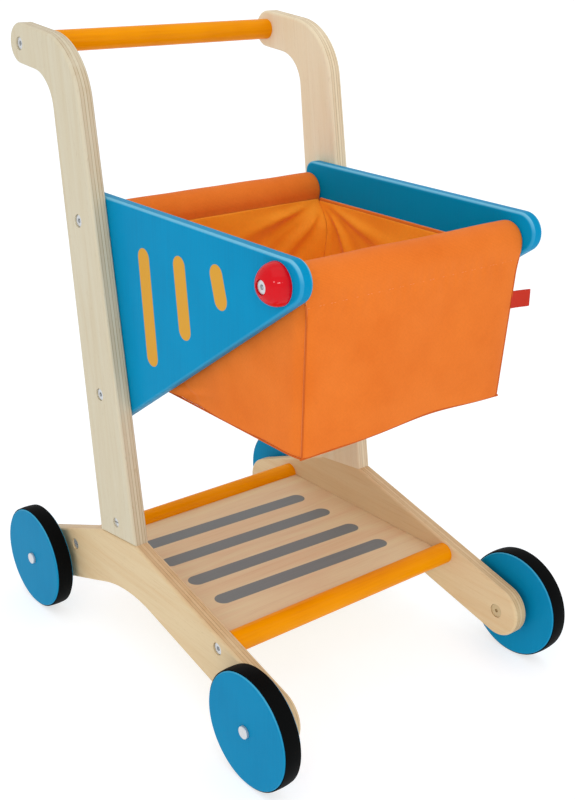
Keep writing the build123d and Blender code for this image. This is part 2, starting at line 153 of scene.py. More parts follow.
aimed_at = Vector((0.0, 0.0, 0.3))
for name, place, size, power in (
    ("soft_box_above", (-0.3, -0.5, 2.6), (2.4, 2.4), 9.0),
    ("small_box_front_left", (-2.2, -1.5, 1.5), (0.18, 0.26), 4.0),
    ("small_box_front", (-0.55, -2.6, 1.3), (0.16, 0.22), 1.5),
    ("small_box_by_the_lens", (-0.60, -0.90, 0.76), (0.24, 0.12), 1.3),
):
    lamp = bpy.data.lights.new(name, "AREA")
    lamp.shape = "RECTANGLE"
    lamp.size, lamp.size_y = size
    lamp.energy = power
    soft_box = bpy.data.objects.new(name, lamp)
    soft_box.location = place
    soft_box.rotation_mode = "QUATERNION"
    soft_box.rotation_quaternion = (aimed_at - Vector(place)).to_track_quat("-Z", "Y")
    bpy.context.scene.collection.objects.link(soft_box)

# ---- Plywood sides -----------------------------------------------------------
# Each side is a foot and a handle upright, sawn from 15 mm birch plywood,
# rounded at the edges, sanded and clear lacquered. They butt at a slanted joint.

board_inner = -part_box("left_foot")[1].x
ply = 0.003
foot_grain = 0.0
upright_grain = math.radians(83.0)
clear_lacquer = {
    "Roughness": 0.5,
    "IOR": 1.5,
    "Specular IOR Level": 0.2,
    "Coat Weight": 0.05,
    "Coat Roughness": 0.35,
}


def object_place(tree):
    """Where a point lies on its object."""
    return add(tree, "TexCoord").outputs["Object"]


def mottle(tree, place, scale, detail, roughness=0.5, distortion=0.0):
    """Noise with about scale swells to the metre."""
    look = {"Scale": scale, "Detail": detail, "Roughness": roughness, "Distortion": distortion}
    return add(tree, "TexNoise", {"Vector": place, **look})


def streaks(tree, place, size, detail, roughness=0.5, distortion=0.0, turn=0.0):
    """Noise drawn out to a size along each axis, turned about the x axis."""
    space = {"Vector": place, "Rotation": (turn, 0, 0), "Scale": size}
    drawn_out = add(tree, "Mapping", space, vector_type="TEXTURE")
    return mottle(tree, drawn_out, 1.0, detail, roughness, distortion)


def maths(tree, operation, first, second=0.0):
    """One step of arithmetic."""
    return add(tree, "Math", {0: first, 1: second}, operation=operation)


def remap(tree, value, low=0.0, high=1.0, to_low=0.0, to_high=1.0):
    """The range from low to high moved to the one from to_low to to_high, held at its ends."""
    ends = {"From Min": low, "From Max": high, "To Min": to_low, "To Max": to_high}
    return add(tree, "MapRange", {"Value": value, **ends})


def blend(tree, share, first, second):
    """First where share is 0, second where it is 1. Either is a hex code or a socket."""
    first, second = (colour(c) if isinstance(c, str) else c for c in (first, second))
    return add(tree, "Mix", {0: share, 6: first, 7: second}, data_type="RGBA").outputs[2]


def emboss(tree, surface, height, strength, distance, normal="Normal"):
    """Fine relief in a surface, too small to model."""
    bump = add(tree, "Bump", {"Height": height, "Strength": strength, "Distance": distance})
    tree.links.new(bump.outputs[0], surface.inputs[normal])


def plywood(name, grain_turn, light, warm, dark):
    """Birch plywood: pale straight grain with soft warm streaks on the faces, and on the edges
    the plies, end grain against long grain, with thin brown glue lines."""
    finish, tree, surface = new_finish(name, clear_lacquer)
    place = object_place(tree)

    # Cathedral figure tens of millimetres long, then fine grain 1 to 2 mm wide, then short
    # dark pores, 8 mm long and half a millimetre wide.
    figure = streaks(tree, place, (0.03, 0.19, 0.013), 3.0, distortion=1.1, turn=grain_turn)
    grain = streaks(tree, place, (0.003, 0.06, 0.0014), 4.0, roughness=0.62, turn=grain_turn)
    pores = streaks(tree, place, (0.002, 0.008, 0.0005), 1.0, turn=grain_turn)
    face = blend(tree, remap(tree, figure, 0.38, 0.72, to_high=0.6), light, warm)
    face = blend(tree, remap(tree, grain, 0.5, 0.8, to_high=0.3), face, dark)
    face = blend(tree, remap(tree, pores, 0.66, 0.8, to_high=0.3), face, "#9C7A50")

    # Plies are counted from the inner face; the outer two stay whole at the faces.
    sideways = add(tree, "SeparateXYZ", {"Vector": place}).outputs["X"]
    depth = maths(tree, "SUBTRACT", maths(tree, "ABSOLUTE", sideways), board_inner)
    depth = maths(tree, "DIVIDE", depth, ply)
    depth = maths(tree, "ADD", depth, remap(tree, grain, to_low=-0.07, to_high=0.07))
    depth = add(tree, "Clamp", {"Value": depth, "Min": 0.3, "Max": 4.7})
    turn = maths(tree, "PINGPONG", maths(tree, "SUBTRACT", depth, 0.5), 1.0)
    edge = blend(tree, remap(tree, turn, 0.44, 0.56, to_high=0.34), face, dark)

    # The glue shows where the sanding has opened the ply, and fades elsewhere.
    from_glue = maths(tree, "ABSOLUTE", maths(tree, "SUBTRACT", turn, 0.5))
    glue = remap(tree, from_glue, 0.02, 0.1, to_low=0.85, to_high=0.0)
    opened = remap(tree, figure, 0.38, 0.6, to_low=0.35)
    edge = blend(tree, maths(tree, "MULTIPLY", glue, opened), edge, "#8C683E")
    tree.links.new(edge, surface.inputs["Base Color"])

    # The lacquer sinks a little into the grain.
    emboss(tree, surface, grain, 0.25, 0.0003)
    shine = remap(tree, figure, to_low=0.42, to_high=0.58)
    tree.links.new(shine.outputs[0], surface.inputs["Roughness"])
    return finish


def paint(finish, *nodes):
    """Gives CAD nodes their finish."""
    for node in nodes:
        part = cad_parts[node]
        for slot in part.material_slots:
            slot.material = finish


# The feet are warmest. The left upright's copy is darker and greyer: painted shade, to tone down
# the light on its outer face. The right upright's copy is warmer: painted orange light, as the
# basket throws on its inner face.
foot_ply = plywood("birch_plywood_foot", foot_grain, "#D8C097", "#D0AF82", "#BE9A6C")
shaded_left_ply = plywood("birch_plywood_painted_shade", upright_grain, "#CFC5AC", "#C9BA9B", "#B9A382")
orange_lit_right_ply = plywood("birch_plywood_painted_orange_light", upright_grain, "#E4D5B8", "#DFCAA6", "#CBB08A")
paint(foot_ply, "left_foot", "right_foot")
paint(shaded_left_ply, "left_upright")
paint(orange_lit_right_ply, "right_upright")

# ---- Foot joint fittings -----------------------------------------------------
# A black connector bolt and a barrel nut pull each upright down on its foot, and
# a pair of beech dowels keeps it from turning.


def metal(name, tint, roughness, scratch, bare=1.0):
    """Bare or plated metal: bright, with fine uneven turning marks that break its gloss. Bare
    is under 1 where a pale film lies over the metal."""
    finish, tree, surface = new_finish(
        name, {"Base Color": colour(tint), "Metallic": bare, "Roughness": roughness}
    )
    marks = mottle(tree, object_place(tree), 1400.0, 3.0, roughness=0.7)
    dulled = remap(tree, marks, to_low=roughness - scratch, to_high=roughness + scratch)
    tree.links.new(dulled.outputs[0], surface.inputs["Roughness"])
    emboss(tree, surface, marks, 0.2, 0.00005)
    return finish


zinc = metal("zinc_plated_steel", "#CFD1D3", 0.36, 0.12, 0.65)
black_oxide = metal("black_oxide_steel", "#3A3A3D", 0.45, 0.12)
brass = metal("machined_brass", "#C9A253", 0.28, 0.1)
# Zinc with a yellow chromate film: dull straw, with little mirror left in it.
yellow_zinc = metal("yellow_zinc_plated_steel", "#C4AE86", 0.42, 0.1, 0.6)

# Beech: pinkish brown with short dark flecks 3 mm long.
beech, tree, surface = new_finish("beech", {"Roughness": 0.6, "IOR": 1.5})
flecks = streaks(tree, object_place(tree), (0.0008, 0.0008, 0.003), 2.0)
tint = blend(tree, remap(tree, flecks, 0.5, 0.75), "#CFA678", "#A87A4C")
tree.links.new(tint, surface.inputs["Base Color"])

paint(beech, "foot_dowels")
paint(black_oxide, "foot_bolts")
paint(zinc, "foot_barrel_nuts")

# ---- Axles -------------------------------------------------------------------
# Each wheel turns on a headed zinc sleeve. A socket bolt, sunk in the inside of
# the foot, holds it, and a nylon washer keeps the wheel off the wood.

# Nylon: off-white, slightly waxy, with a faint moulded mottle.
nylon, tree, surface = new_finish(
    "natural_nylon",
    {"Roughness": 0.42, "IOR": 1.53, "Subsurface Weight": 0.15, "Subsurface Scale": 0.002},
)
tint = blend(tree, mottle(tree, object_place(tree), 160.0, 2.0), "#EFEDE6", "#DEDACD")
tree.links.new(tint, surface.inputs["Base Color"])

wheel_corners = ("front_left", "front_right", "rear_left", "rear_right")
for corner in wheel_corners:
    paint(zinc, f"{corner}_axle_sleeve")
    paint(yellow_zinc, f"{corner}_axle_bolt")
    paint(nylon, f"{corner}_spacer")

# ---- Wheels ------------------------------------------------------------------
# Turned wooden discs in satin blue lacquer, with a black rubber band stretched
# into the groove round each for grip.


def lacquered_wood(name, main, shade, arris_highlight, grain_size, coat, relief):
    """Colour lacquer on wood: even colour that darkens softly where the stain took, the grain
    just felt through it, paler arrises painted on as a highlight, most on the upward ones, and
    a clear satin coat. Returns the colour too, for prints on it."""
    finish, tree, surface = new_finish(
        name,
        {
            "Roughness": 0.36,
            "IOR": 1.5,
            "Specular IOR Level": 0.02,
            "Coat Weight": coat,
            "Coat Roughness": 0.1,
        },
    )
    texture = add(tree, "TexCoord")
    place = texture.outputs["Object"]
    grain = streaks(tree, place, grain_size, 4.0, roughness=0.6)
    stain = maths(tree, "MULTIPLY", grain, mottle(tree, place, 22.0, 2.0))
    tint = blend(tree, remap(tree, stain, 0.16, 0.42, to_high=0.8), main, shade)
    # On an arris the surface faces between sideways and outwards; there a highlight is painted
    # in, strongest on the upward ones.
    facing = add(tree, "SeparateXYZ", {"Vector": texture.outputs["Normal"]})
    sideways = maths(tree, "ABSOLUTE", facing.outputs["X"])
    off_face = remap(tree, sideways, 0.96, 0.8)
    off_edge = remap(tree, sideways, 0.05, 0.25)
    upward_highlight = remap(tree, facing.outputs["Z"], 0.1, 0.8, to_low=0.14, to_high=0.75)
    painted_highlight_share = maths(tree, "MULTIPLY", maths(tree, "MULTIPLY", off_face, off_edge), upward_highlight)
    # Painted highlight: the arrises are paled towards the highlight colour.
    tint = blend(tree, painted_highlight_share, tint, arris_highlight)
    tree.links.new(tint, surface.inputs["Base Color"])
    emboss(tree, surface, grain, relief, 0.0002)
    return finish, tree, surface, tint


# The third colour is the painted highlight on the rims' arrises.
wheel_blue = lacquered_wood(
    "satin_blue_wheel_lacquer", "#0683B0", "#047DAA", "#4CA8CC", (0.03, 0.0016, 0.03), 0.04, 0.08
)[0]

# Natural rubber: near black, dull, with a fine talc bloom in its pores.
rubber, tree, surface = new_finish(
    "black_rubber", {"Roughness": 0.6, "IOR": 1.52, "Specular IOR Level": 0.03}
)
bloom = mottle(tree, object_place(tree), 420.0, 4.0, roughness=0.7)
tree.links.new(blend(tree, bloom, "#040505", "#0C0D0D"), surface.inputs["Base Color"])
dulled = remap(tree, bloom, to_low=0.48, to_high=0.72)
tree.links.new(dulled.outputs[0], surface.inputs["Roughness"])
emboss(tree, surface, bloom, 0.3, 0.0002)

for corner in wheel_corners:
    paint(wheel_blue, f"{corner}_wheel")
    paint(rubber, f"{corner}_tyre")

# ---- Rails -------------------------------------------------------------------
# Two round rails in orange lacquer join the feet. Bolts through the feet run
# into threaded brass inserts in their ends.

# The third colour is the painted highlight on the arrises.
orange_lacquer = lacquered_wood(
    "satin_orange_lacquer", "#EE9600", "#E28800", "#F2A828", (0.09, 0.002, 0.002), 0.1, 0.12
)[0]
paint(orange_lacquer, "shelf_front_rail", "shelf_rear_rail")
paint(brass, "rail_inserts")
paint(zinc, "front_rail_bolts", "rear_rail_bolts")

# ---- Shelf -------------------------------------------------------------------
# A 6 mm plywood board sits in grooves in the rails. Four grey bars with round
# ends are printed across its top, a little askew.

bar_tip = 0.099
bar_radius = 0.0086
bar_skew = 0.0045
bar_rows = (0.078, 0.037, -0.007, -0.049)
ink_edge = 0.0002

shelf_ply, tree, surface = new_finish("birch_plywood_shelf", clear_lacquer)
texture = add(tree, "TexCoord")
place = texture.outputs["Object"]
figure = streaks(tree, place, (0.2, 0.02, 0.05), 3.0, distortion=1.0)
grain = streaks(tree, place, (0.06, 0.0015, 0.003), 4.0, roughness=0.62)
face = blend(tree, remap(tree, figure, 0.35, 0.65, to_high=0.9), "#E0CFA8", "#DCC09A")
face = blend(tree, remap(tree, grain, 0.5, 0.8, to_high=0.35), face, "#C4A078")


def printed_bar(tree, place, start, end, radius):
    """1 inside a bar with round ends from start to end, 0 outside it."""
    start, end = Vector(start), Vector(end)
    run = end - start
    along = run / run.length_squared
    from_start = add(tree, "VectorMath", {0: place, 1: start}, operation="SUBTRACT")
    share = add(tree, "VectorMath", {0: from_start, 1: along}, operation="DOT_PRODUCT")
    share = add(tree, "Clamp", {"Value": share.outputs["Value"]})
    nearest = add(tree, "VectorMath", {0: run, "Scale": share}, operation="SCALE")
    away = add(tree, "VectorMath", {0: from_start, 1: nearest}, operation="DISTANCE")
    low, high = radius - ink_edge, radius + ink_edge
    return remap(tree, away.outputs["Value"], low, high, to_low=1.0, to_high=0.0)


def printed(tree, place, bars, radius):
    """1 inside any of the bars."""
    ink = None
    for start, end in bars:
        bar = printed_bar(tree, place, start, end, radius)
        ink = bar if ink is None else maths(tree, "MAXIMUM", ink, bar)
    return ink


flat_place = add(tree, "VectorMath", {0: place, 1: (1, 1, 0)}, operation="MULTIPLY")
bar_end = bar_tip - bar_radius
bars = [((-bar_end, row + bar_skew, 0), (bar_end, row - bar_skew, 0)) for row in bar_rows]
facing_up = add(tree, "SeparateXYZ", {"Vector": texture.outputs["Normal"]}).outputs["Z"]
facing_up = remap(tree, facing_up, 0.5, 0.6)
ink = maths(tree, "MULTIPLY", printed(tree, flat_place, bars, bar_radius), facing_up)
# The grain just shows through the print.
face = blend(tree, ink, face, blend(tree, grain, "#7C8486", "#70787A"))
tree.links.new(face, surface.inputs["Base Color"])
emboss(tree, surface, grain, 0.25, 0.0003)
paint(shelf_ply, "shelf_board")

# ---- Side panels -------------------------------------------------------------
# Two 12 mm boards in blue lacquer, each with three yellow bars printed on its
# outer face, bolted to the uprights with sleeve nuts.

# The third colour is the painted highlight along the panels' arrises, brightest on their top
# edges.
panel_blue, tree, surface, tint = lacquered_wood(
    "satin_blue_lacquer", "#008AB8", "#0383B0", "#7CC0DA", (0.03, 0.0018, 0.07), 0.04, 0.1
)
stripe_radius = 0.0082
stripes = [
    ((0, 0.0127, 0.3917), (0, 0.0037, 0.3077)),
    ((0, -0.0390, 0.3965), (0, -0.0455, 0.3446)),
    ((0, -0.0892, 0.4010), (0, -0.0948, 0.3824)),
]
panel_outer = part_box("right_side_panel")[1].x
place = object_place(tree)
flat_place = add(tree, "VectorMath", {0: place, 1: (0, 1, 1)}, operation="MULTIPLY")
sideways = add(tree, "SeparateXYZ", {"Vector": place}).outputs["X"]
sideways = maths(tree, "ABSOLUTE", sideways)
on_face = remap(tree, sideways, panel_outer - 0.0003, panel_outer - 0.0001)
ink = maths(tree, "MULTIPLY", printed(tree, flat_place, stripes, stripe_radius), on_face)
tree.links.new(blend(tree, ink, tint, "#D29A38"), surface.inputs["Base Color"])
paint(panel_blue, "left_side_panel", "right_side_panel")
paint(zinc, "panel_bolts", "panel_sleeve_nuts")

# ---- Basket bars and knob ----------------------------------------------------
# Two round bars carry the basket between the panels. A red gloss half ball, with
# a bolt sunk in it, covers the left end of the front one.

# Gloss lacquer: deep, even red under a hard clear coat that mirrors the lamps.
knob_red, tree, surface = new_finish(
    "red_gloss_lacquer",
    {
        "Roughness": 0.25,
        "IOR": 1.5,
        "Specular IOR Level": 0.02,
        "Coat Weight": 0.36,
        "Coat Roughness": 0.03,
    },
)
flow = mottle(tree, object_place(tree), 90.0, 1.0)
tree.links.new(blend(tree, flow, "#D00414", "#C40210"), surface.inputs["Base Color"])
emboss(tree, surface, flow, 0.1, 0.0003, normal="Coat Normal")

paint(orange_lacquer, "basket_front_bar", "basket_back_bar")
paint(brass, "basket_bar_inserts")
paint(knob_red, "left_knob")
paint(zinc, "front_bar_bolts", "back_bar_bolts")

# ---- Basket canvas -----------------------------------------------------------
# An open box sewn from orange canvas. Its front and back walls are turned over
# at the top into casings that hang on the bars, and its sides have a plain hem.

canvas_thickness = 0.0016
hem_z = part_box("basket_floor")[0].z
side_hem_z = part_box("basket_left")[1].z
casing_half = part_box("basket_front")[1].x
hem_taper = 0.0045
hem_half = casing_half - hem_taper
middle_z = 0.33
panel_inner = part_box("right_side_panel")[0].x

# The casings are wider than the bars and hang on them, their middles this much lower.
casing_radius = 0.016
casing_drop = 0.0047
casing_start = -150
casing_sweep = 330
casing_steps = 36
wall_steps = 50

# A casing's turned-in end is narrower, so that it clears the side walls: fully up to the first
# of these steps of its path, and no more from the second on.
turned_in_narrowing = 0.0032
turned_in_steps = (13, 17)

# Each wall runs back to its hem, and is sewn to its casing at a seam.
hem_setback = {"front": 0.0083, "back": 0.0140}
seam_z = {"front": 0.3945, "back": 0.3995}
seam_ridge = 0.0007
pucker_pitch = 0.0018

# Below the casing the front corners are drawn in over a short height.
corner_tuck = 0.0022
tuck_start = 0.3990
tuck_height = 0.006
tuck_reach = 0.0065


def canvas(name, light, deep, roughness, sheen=0.05):
    """Plain weave cotton canvas: dull, with a soft nap at grazing angles. The threads are drawn
    1.1 mm apart, twice as coarse as the real ones, so that they show."""
    finish, tree, surface = new_finish(
        name,
        {
            "Roughness": roughness,
            "IOR": 1.45,
            "Specular IOR Level": 0.12,
            "Sheen Weight": sheen,
            "Sheen Roughness": 0.5,
        },
    )
    thread = 0.0011
    bands = {
        "Vector": add(tree, "UVMap", uv_map="weave"),
        "Scale": math.pi / (10 * thread),
        "Distortion": 0.6,
    }
    warp = add(tree, "TexWave", bands, bands_direction="X")
    weft = add(tree, "TexWave", bands, bands_direction="Y")
    weave = maths(tree, "MULTIPLY", warp, weft)
    place = object_place(tree)
    fading = mottle(tree, place, 26.0, 4.0)
    slubs = mottle(tree, place, 480.0, 3.0, roughness=0.7)
    tint = blend(tree, remap(tree, fading, 0.35, 0.7, to_high=0.8), light, deep)
    gaps = remap(tree, weave, to_low=0.9, to_high=1.03)
    flecks = remap(tree, slubs, to_low=0.93, to_high=1.07)
    shade = maths(tree, "MULTIPLY", gaps, flecks)
    tint = add(tree, "VectorMath", {0: tint, "Scale": shade}, operation="SCALE")
    tree.links.new(tint.outputs[0], surface.inputs["Base Color"])
    emboss(tree, surface, maths(tree, "ADD", weave, slubs), 0.35, 0.0003)
    return finish


canvas_orange = canvas("orange_canvas", "#EA7A28", "#E2701E", 0.85)
# A paler copy of the canvas for the cloth's rims: wear along the folded edges, and a painted
# highlight there.
canvas_rim_wear_and_highlight = canvas("orange_canvas_rim_wear_and_highlight", "#F4A070", "#F08C54", 0.8)


def sew(name, columns, rows, size, place, finishes, thickness=canvas_thickness):
    """A sheet of cloth: a grid moved to place(u, v), given its thickness to both sides, and
    smoothed. Its weave map is in real metres. The finishes are for its two faces and its rim."""
    cut = bmesh.new()
    weave = cut.loops.layers.uv.new("weave")
    bmesh.ops.create_grid(cut, x_segments=columns, y_segments=rows, size=0.5)
    for face in cut.faces:
        for loop in face.loops:
            corner = loop.vert.co
            loop[weave].uv = ((corner.x + 0.5) * size[0], (corner.y + 0.5) * size[1])
    for vert in cut.verts:
        vert.co = place(vert.co.x + 0.5, vert.co.y + 0.5)
    piece = new_piece(name, cut, *finishes)
    body = piece.modifiers.new("thickness", "SOLIDIFY")
    body.thickness = thickness
    body.offset = 0
    body.use_even_offset = True
    body.material_offset = 1
    body.material_offset_rim = 2
    soft = piece.modifiers.new("softness", "SUBSURF")
    soft.levels = 1
    soft.render_levels = 1
    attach(piece, "cart")
    return piece


# Middle of each bar, as (y, z).
bar_centres = {}
for end in ("front", "back"):
    low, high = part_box(f"basket_{end}_bar")
    bar_centres[end] = ((low.y + high.y) / 2, (low.z + high.z) / 2)


def clamped(share):
    """A share kept between 0 and 1."""
    return min(1.0, max(0.0, share))


def half_width(z):
    """Half the basket's width at a height: it narrows from the casings to the floor."""
    top = bar_centres["front"][1] - casing_drop
    return hem_half + clamped((z - hem_z) / (top - hem_z)) * (casing_half - hem_half)


def casing_path(end):
    """The canvas from its inner seam round the bar and down to the hem, as (y, z) points, and
    how far along it each lies."""
    y, z = bar_centres[end]
    z -= casing_drop
    wall_top = (y - casing_radius, z)
    wall_end = (y - casing_radius + hem_setback[end], hem_z + canvas_thickness / 2)
    steps = []
    for i in range(casing_steps + 1):
        turn = math.radians(casing_start + casing_sweep * i / casing_steps)
        steps.append((y + casing_radius * math.cos(turn), z + casing_radius * math.sin(turn)))
    for i in range(1, wall_steps + 1):
        share = i / wall_steps
        steps.append(tuple(a + share * (b - a) for a, b in zip(wall_top, wall_end)))
    runs = [0.0]
    for a, b in zip(steps, steps[1:]):
        runs.append(runs[-1] + math.dist(a, b))
    return steps, runs


def at_run(steps, runs, run):
    """Point of a path at a run along it."""
    for i in range(1, len(runs)):
        if run <= runs[i] or i == len(runs) - 1:
            share = (run - runs[i - 1]) / (runs[i] - runs[i - 1])
            a, b = steps[i - 1], steps[i]
            return (a[0] + share * (b[0] - a[0]), a[1] + share * (b[1] - a[1]))


def wall_y(end, z):
    """Middle of a hanging wall at a height, in y."""
    y, top = bar_centres[end]
    top -= casing_drop
    share = (z - hem_z) / (top - hem_z)
    return y - casing_radius + hem_setback[end] * (1 - share)


def soft_noise(x, z, size, seed):
    """Smooth waviness, about -1 to 1, whose swells are size across."""
    return noise.noise(Vector((x / size, z / size, seed)))


def bell(distance, width):
    """1 at no distance, fading away over width."""
    return math.exp(-((distance / width) ** 2))


def hem_arch(x):
    """How far the front hem is drawn up: most just right of the middle."""
    return 0.0042 * bell(x - 0.028, 0.05)


def tuck(z):
    """How far the front corners are drawn in at a height."""
    return corner_tuck * clamped((tuck_start - z) / tuck_height)


front_steps, front_runs = casing_path("front")
back_steps, back_runs = casing_path("back")


def narrowed(run, runs):
    """How much narrower a casing is on each side at a run along its path."""
    full, none = (runs[step] for step in turned_in_steps)
    return turned_in_narrowing * clamped((none - run) / (none - full))


def puckered(x, z, slack, end, depth, seed):
    """How a wall stands out at its casing seam: a ridge, and puckers that fade away from it."""
    wander = 2.5 * soft_noise(x, 0, 0.02, seed)
    pucker = depth * math.sin(x / pucker_pitch + wander) * slack
    above = z - seam_z[end]
    return seam_ridge * bell(above, 0.0022) + pucker * bell(above, 0.011)


def front_place(u, v):
    """Front wall: puckered along the casing seam, slightly slack below it."""
    run = v * front_runs[-1]
    y, z = at_run(front_steps, front_runs, run)
    on_wall = run > front_runs[casing_steps]
    half = half_width(z) - tuck(z) if on_wall else casing_half - narrowed(run, front_runs)
    side = 2 * u - 1
    x = side * half
    slack = 1 - side**8
    if on_wall:
        down = max(0.0, seam_z["front"] - z)
        y += puckered(x, z, slack, "front", 0.00035, 3.0)
        y -= 0.0016 * slack * soft_noise(x, z, 0.06, 1.0) * clamped(down / 0.03)
        # The whole wall bellies out, its corners stand back, and its hem is drawn up.
        y -= 0.0012 * slack * clamped(down / 0.05) * math.sin(math.pi * clamped(down / 0.123))
        y += 0.0010 * bell(1 - abs(side), 0.035) * clamped(down / 0.01)
        z += hem_arch(x) * clamped(down / 0.123) ** 3
    else:
        y += 0.0004 * soft_noise(x, z, 0.03, 2.0) * slack
        z += 0.0005 * soft_noise(x, y, 0.045, 5.0) * slack
    return Vector((x, y, z))


def back_place(u, v):
    """Back wall, hung in the same way."""
    run = v * back_runs[-1]
    y, z = at_run(back_steps, back_runs, run)
    on_wall = run > back_runs[casing_steps]
    side = 2 * u - 1
    x = side * (half_width(z) if on_wall else casing_half)
    slack = 1 - side**8
    if on_wall:
        down = max(0.0, seam_z["back"] - z)
        y += puckered(x, z, slack, "back", 0.0004, 13.0)
        y += 0.0015 * slack * soft_noise(x, z, 0.05, 11.0) * clamped(down / 0.03)
    else:
        z += 0.0006 * soft_noise(x, y, 0.05, 15.0) * slack
    return Vector((x, y, z))


wall_finishes = (canvas_orange, canvas_orange, canvas_rim_wear_and_highlight)
front_size = (2 * casing_half, front_runs[-1])
front_wall = sew("basket_front_canvas", 72, 66, front_size, front_place, wall_finishes)
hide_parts("basket_front")
back_size = (2 * casing_half, back_runs[-1])
back_wall = sew("basket_back_canvas", 72, 66, back_size, back_place, wall_finishes)
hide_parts("basket_back")

# Each side wall stands between the other two, just clear of them and of the panels.
side_rise = 0.0012
side_height = side_hem_z - hem_z
side_front_gap = 0.0014
side_back_gap = 0.0012
panel_gap = 0.0004
# Slant of each crease in a side wall, with the height and depth at which it starts.
creases = ((0.3, 0.280, -0.030), (-0.7, 0.291, -0.015), (0.9, 0.304, -0.008))


def side_place(side):
    """Side wall: a slack fold runs down from its rear top corner, over a few short creases."""

    def place(u, v):
        z = hem_z + side_rise + v * (side_height - side_rise)
        leaning = z + v * side_rise
        front = wall_y("front", leaning) + side_front_gap
        back = wall_y("back", leaning) - side_back_gap
        y = front + u * (back - front)
        x = half_width(z) - canvas_thickness / 2 - tuck(z) * bell(y - front, tuck_reach)
        slack = (1 - (2 * u - 1) ** 8) * (1 - v**6)
        fold = (y + 0.03) * 0.62 + (z - 0.315)
        x -= 0.0022 * slack * bell(fold, 0.009) * bell(z - 0.30, 0.06)
        x += 0.0014 * slack * bell(fold + 0.022, 0.014) * bell(z - 0.30, 0.06)
        for lean, rise, start in creases:
            crease = (y - start) * lean + (z - rise)
            x -= 0.0021 * slack * bell(crease, 0.0026) * bell(y - start, 0.022)
            x += 0.0010 * slack * bell(crease - 0.0055, 0.0034) * bell(y - start, 0.026)
        x += 0.0016 * slack * soft_noise(y, z, 0.055, 21.0 + side)
        x += 0.0006 * slack * soft_noise(y, z, 0.02, 31.0 + side)
        x = min(x, panel_inner - canvas_thickness / 2 - panel_gap)
        return Vector((side * x, y, z))

    return place


side_size = (wall_y("back", middle_z) - wall_y("front", middle_z), side_height)
for name, side in (("left", -1), ("right", 1)):
    wall = sew(f"basket_{name}_canvas", 72, 44, side_size, side_place(side), wall_finishes)
    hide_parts(f"basket_{name}")


floor_front_gap = 0.0015
floor_back_gap = 0.0012
floor_side_gap = 0.0004


def floor_place(u, v):
    """Floor: sags a little between its seams, and follows the drawn-up front hem."""
    front = wall_y("front", hem_z) + floor_front_gap
    back = wall_y("back", hem_z) - floor_back_gap
    y = front + v * (back - front)
    side = 2 * u - 1
    half = hem_half - canvas_thickness - floor_side_gap
    x = side * (half - corner_tuck * bell(y - front, tuck_reach))
    slack = (1 - side**4) * (1 - (2 * v - 1) ** 4)
    sag = 0.0022 * slack - 0.0008 * slack * soft_noise(x, y, 0.05, 41.0)
    z = hem_z + canvas_thickness / 2 - sag + hem_arch(x) * bell(y - front, 0.05)
    return Vector((x, y, z))


# Lining: thin bright nylon taffeta, yellower than the canvas, with a silky gleam.
lining_nylon = canvas("yellow_orange_lining", "#FFA028", "#F8921C", 0.5, sheen=0.1)

floor_depth = wall_y("back", hem_z) - wall_y("front", hem_z)
floor_size = (2 * hem_half, floor_depth)
floor_finishes = (lining_nylon, canvas_orange, canvas_orange)
basket_floor = sew("basket_floor_canvas", 56, 56, floor_size, floor_place, floor_finishes)
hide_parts("basket_floor")

# ---- Basket lining -----------------------------------------------------------
# A loose inner bag of thin nylon, sewn in at the casing seams and the hems and
# drawn together at its upper corners, so that folds fan out from them.

# The bag's walls stand this far inside the canvas, and end this far above the floor. Their
# folds never come nearer to the canvas than the closest.
lining_thickness = 0.0006
lining_inset = 0.0028
lining_rise = 0.0035
lining_back_gap = 0.0016
lining_front_gap = 0.0018
lining_side_gap = 0.0030
lining_closest = 0.0003
lining_width = 2 * half_width(middle_z)


def gathers(along, down, seed):
    """Folds that fan out from an upper corner; along and down are distances from it."""
    reach = math.hypot(along, down)
    turn = math.atan2(down, along)
    wave = 1 - 2 * abs(math.sin(5.2 * turn + seed))
    wave += 0.5 * (1 - 2 * abs(math.sin(9.1 * turn + 2.3 * seed)))
    return (1 - bell(reach, 0.018)) * bell(reach, 0.09) * wave


def corner_pull(z):
    """How far the bag's rear corners are drawn forward of the back wall at a height."""
    down = max(0.0, seam_z["back"] - z)
    return 0.019 * (1 - bell(down, 0.016)) * bell(max(0.0, down - 0.05), 0.06)


def lining_back_y(x, z):
    """Inner side of the back lining."""
    half = half_width(z) - 0.0026
    down = max(0.0, seam_z["back"] - z)
    folds = gathers(half - x, down, 1.7) + gathers(half + x, down, 4.1)
    loose = 0.0030 + 0.0030 * folds + 0.0012 * soft_noise(x, z, 0.04, 51.0)
    drawn = corner_pull(z) * bell(half - abs(x), 0.024)
    inner = wall_y("back", z) - lining_back_gap - drawn
    return inner - clamped(down / 0.012) * max(lining_closest, loose)


def lining_back_place(u, v):
    """Back of the bag, from the casing seam to the floor."""
    z = seam_z["back"] - 0.0005 - v * (seam_z["back"] - hem_z - lining_rise)
    x = (2 * u - 1) * (half_width(z) - lining_inset)
    return Vector((x, lining_back_y(x, z), z))


def lining_front_place(u, v):
    """Front of the bag, which starts below the casing's turned-in end."""
    top = seam_z["front"] - 0.0055
    z = top - v * (top - hem_z - lining_rise)
    half = half_width(z) - lining_inset - tuck(z)
    x = (2 * u - 1) * half
    down = top - z
    folds = gathers(half - x, down, 2.9) + gathers(half + x, down, 5.3)
    loose = 0.0020 + 0.0022 * folds + 0.001 * soft_noise(x, z, 0.04, 61.0)
    inner = wall_y("front", z) + lining_front_gap
    return Vector((x, inner + clamped(down / 0.012) * max(lining_closest, loose), z))


def lining_top(y):
    """Upper edge of the side lining: under the hem, and scooped round the front casing."""
    bar_y, bar_z = bar_centres["front"]
    reach = casing_radius + 0.0022
    beside = y - bar_y
    if abs(beside) >= reach:
        return side_hem_z
    return min(side_hem_z, bar_z - casing_drop - math.sqrt(reach**2 - beside**2))


